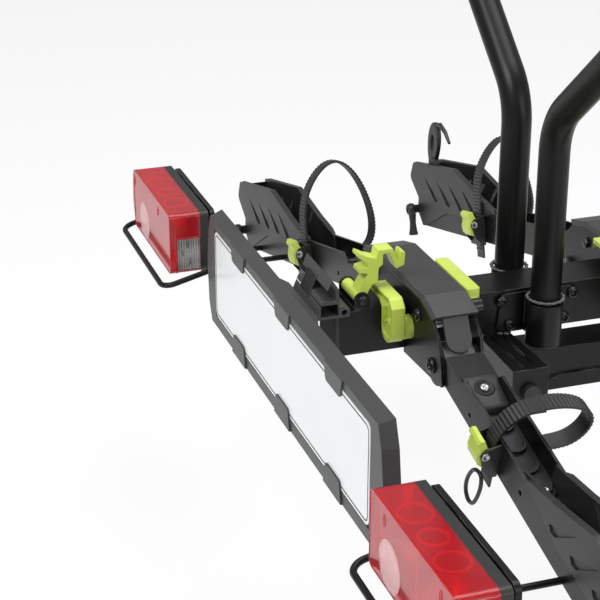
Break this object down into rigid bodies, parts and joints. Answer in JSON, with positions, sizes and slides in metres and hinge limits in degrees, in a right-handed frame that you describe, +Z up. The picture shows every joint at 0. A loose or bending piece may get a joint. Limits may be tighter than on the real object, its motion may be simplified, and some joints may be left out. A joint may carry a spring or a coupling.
{
  "type": "hitch bike rack",
  "caption": "Folding carrier for bicycles that sits on a tow ball, with wheel trays, a mast hoop, tail lamps and a bare number plate",
  "frame": {"origin": "centre of the tow ball that carries the rack", "axes": "+Y points forward to the car, +X to the vehicle's right-hand side, +Z up"},
  "size_m": [1.2042, 0.5705, 0.8245],
  "materials": {
    "black_steel": "satin powder coat",
    "cast_black": "black coated casting",
    "zinc_steel": "zinc plated",
    "dark_bolts": "blackened",
    "grey_plastic": "fine grain",
    "black_plastic": "fine grain",
    "lime_plastic": "satin gloss",
    "black_rubber": "matt",
    "strap_rubber": "matt, toothed",
    "red_lens": "clear gloss",
    "white_plate": "bare reflective face"
  },
  "bodies": {
    "base": {"base_beam": "black_steel", "coupling_head": "cast_black", "coupling_pins": "zinc_steel"},
    "jaw": {"coupling_jaw": "cast_black"},
    "clamp_lever": {"coupling_lever": "lime_plastic"},
    "frame": {"spine_beam": "black_steel", "crossbeam": "black_steel", "tilt_axle": "zinc_steel", "end_caps": "black_plastic", "rear_bracket_plates": "black_steel", "front_bracket_plates": "black_steel", "rear_cover": "grey_plastic", "front_cover": "grey_plastic", "frame_bolts": "dark_bolts", "hinge_bolts": "dark_bolts", "mast_hoop": "black_steel", "mast_brackets": "black_steel", "plate_holder": "black_plastic", "number_plate": "white_plate", "plate_mount": "black_plastic", "catch_ears": "black_steel"},
    "lever": {"tilt_lever": "lime_plastic", "tilt_lever_shaft": "zinc_steel"},
    "catch": {"safety_catch": "lime_plastic"},
    "rear_handle": {"rear_fold_handle": "lime_plastic", "rear_fold_shaft": "dark_bolts"},
    "front_handle": {"front_fold_handle": "lime_plastic", "front_fold_shaft": "dark_bolts"},
    "rear_near_wing": {"rear_near_arm": "black_steel", "rear_near_tray": "black_plastic", "rear_near_strap": "strap_rubber", "rear_near_ratchet": "black_plastic", "near_lamp_lens": "red_lens", "near_lamp_housing": "black_plastic", "near_lamp_frame": "black_steel"},
    "rear_far_wing": {"rear_far_arm": "black_steel", "rear_far_tray": "black_plastic", "rear_far_strap": "strap_rubber", "rear_far_ratchet": "black_plastic", "far_lamp_lens": "red_lens", "far_lamp_housing": "black_plastic", "far_lamp_frame": "black_steel"},
    "front_near_wing": {"front_near_arm": "black_steel", "front_near_tray": "black_plastic", "front_near_strap": "strap_rubber", "front_near_ratchet": "black_plastic"},
    "front_far_wing": {"front_far_arm": "black_steel", "front_far_tray": "black_plastic", "front_far_strap": "strap_rubber", "front_far_ratchet": "black_plastic"},
    "rear_near_buckle": {"rear_near_ratchet_lever": "lime_plastic"},
    "rear_far_buckle": {"rear_far_ratchet_lever": "lime_plastic"},
    "front_near_buckle": {"front_near_ratchet_lever": "lime_plastic"},
    "front_far_buckle": {"front_far_ratchet_lever": "lime_plastic"},
    "near_arm": {"near_bike_arm": "black_plastic"},
    "near_claw": {"near_bike_claw": "black_rubber"},
    "near_knob": {"near_bike_knob": "black_plastic"},
    "far_arm": {"far_bike_arm": "black_plastic"},
    "far_claw": {"far_bike_claw": "black_rubber"},
    "far_knob": {"far_bike_knob": "black_plastic"}
  },
  "joints": [
    {"name": "jaw_pivot", "type": "hinge", "parent": "base", "child": "jaw", "pos_m": [0, 0.033, 0.014], "axis": [1, 0, 0], "range_deg": [0, 15]},
    {"name": "clamp_lever_pivot", "type": "hinge", "parent": "base", "child": "clamp_lever", "pos_m": [0, 0, 0.058], "axis": [-1, 0, 0], "range_deg": [0, 70]},
    {"name": "tilt_pivot", "type": "hinge", "parent": "base", "child": "frame", "pos_m": [0, -0.246, 0.0785], "axis": [1, 0, 0], "range_deg": [0, 40]},
    {"name": "tilt_lever_pivot", "type": "hinge", "parent": "frame", "child": "lever", "pos_m": [0.041, -0.3715, 0.137], "axis": [0, 1, 0], "range_deg": [0, 80]},
    {"name": "catch_pivot", "type": "hinge", "parent": "frame", "child": "catch", "pos_m": [0, -0.4, 0.1665], "axis": [1, 0, 0], "range_deg": [-15, 38]},
    {"name": "rear_handle_pivot", "type": "hinge", "parent": "frame", "child": "rear_handle", "pos_m": [0.075, -0.295, 0.166], "axis": [0, 1, 0], "range_deg": [0, 60]},
    {"name": "front_handle_pivot", "type": "hinge", "parent": "frame", "child": "front_handle", "pos_m": [0.075, -0.1, 0.166], "axis": [0, 1, 0], "range_deg": [0, 60]},
    {"name": "rear_near_fold", "type": "hinge", "parent": "frame", "child": "rear_near_wing", "pos_m": [0.102, -0.3275, 0.1186], "axis": [0, 1, 0], "range_deg": [0, 75]},
    {"name": "rear_far_fold", "type": "hinge", "parent": "frame", "child": "rear_far_wing", "pos_m": [-0.102, -0.3275, 0.1186], "axis": [0, -1, 0], "range_deg": [0, 75]},
    {"name": "front_near_fold", "type": "hinge", "parent": "frame", "child": "front_near_wing", "pos_m": [0.102, -0.0675, 0.1186], "axis": [0, 1, 0], "range_deg": [0, 75]},
    {"name": "front_far_fold", "type": "hinge", "parent": "frame", "child": "front_far_wing", "pos_m": [-0.102, -0.0675, 0.1186], "axis": [0, -1, 0], "range_deg": [0, 75]},
    {"name": "rear_near_buckle_pivot", "type": "hinge", "parent": "rear_near_wing", "child": "rear_near_buckle", "pos_m": [0.2388, -0.364, 0.10511], "axis": [-0.9703, 0, 0.2419], "range_deg": [0, 38], "stiffness_Nm_per_rad": 0.05},
    {"name": "rear_far_buckle_pivot", "type": "hinge", "parent": "rear_far_wing", "child": "rear_far_buckle", "pos_m": [-0.30187, -0.364, 0.08938], "axis": [-0.9703, 0, -0.2419], "range_deg": [0, 38], "stiffness_Nm_per_rad": 0.05},
    {"name": "front_near_buckle_pivot", "type": "hinge", "parent": "front_near_wing", "child": "front_near_buckle", "pos_m": [0.30187, -0.104, 0.08938], "axis": [-0.9703, 0, 0.2419], "range_deg": [0, 38], "stiffness_Nm_per_rad": 0.05},
    {"name": "front_far_buckle_pivot", "type": "hinge", "parent": "front_far_wing", "child": "front_far_buckle", "pos_m": [-0.3562, -0.104, 0.07583], "axis": [-0.9703, 0, -0.2419], "range_deg": [0, 38], "stiffness_Nm_per_rad": 0.05},
    {"name": "near_arm_swivel", "type": "hinge", "parent": "frame", "child": "near_arm", "pos_m": [0.175, -0.1975, 0.64], "axis": [0, 0, 1], "range_deg": [-60, 60]},
    {"name": "near_claw_pivot", "type": "hinge", "parent": "near_arm", "child": "near_claw", "pos_m": [0.175, -0.327, 0.6535], "axis": [-1, 0, 0], "range_deg": [0, 40]},
    {"name": "near_knob_turn", "type": "hinge", "parent": "near_arm", "child": "near_knob", "pos_m": [0.175, -0.1975, 0.64], "axis": [1, 0, 0], "range_deg": [-180, 180]},
    {"name": "far_arm_swivel", "type": "hinge", "parent": "frame", "child": "far_arm", "pos_m": [-0.175, -0.1975, 0.64], "axis": [0, 0, 1], "range_deg": [-60, 60]},
    {"name": "far_claw_pivot", "type": "hinge", "parent": "far_arm", "child": "far_claw", "pos_m": [-0.175, -0.068, 0.6535], "axis": [1, 0, 0], "range_deg": [0, 40]},
    {"name": "far_knob_turn", "type": "hinge", "parent": "far_arm", "child": "far_knob", "pos_m": [-0.175, -0.1975, 0.64], "axis": [1, 0, 0], "range_deg": [-180, 180]}
  ],
  "couplings": [
    {"joint": "jaw_pivot", "follows": "clamp_lever_pivot", "ratio": 0.214}
  ]
}
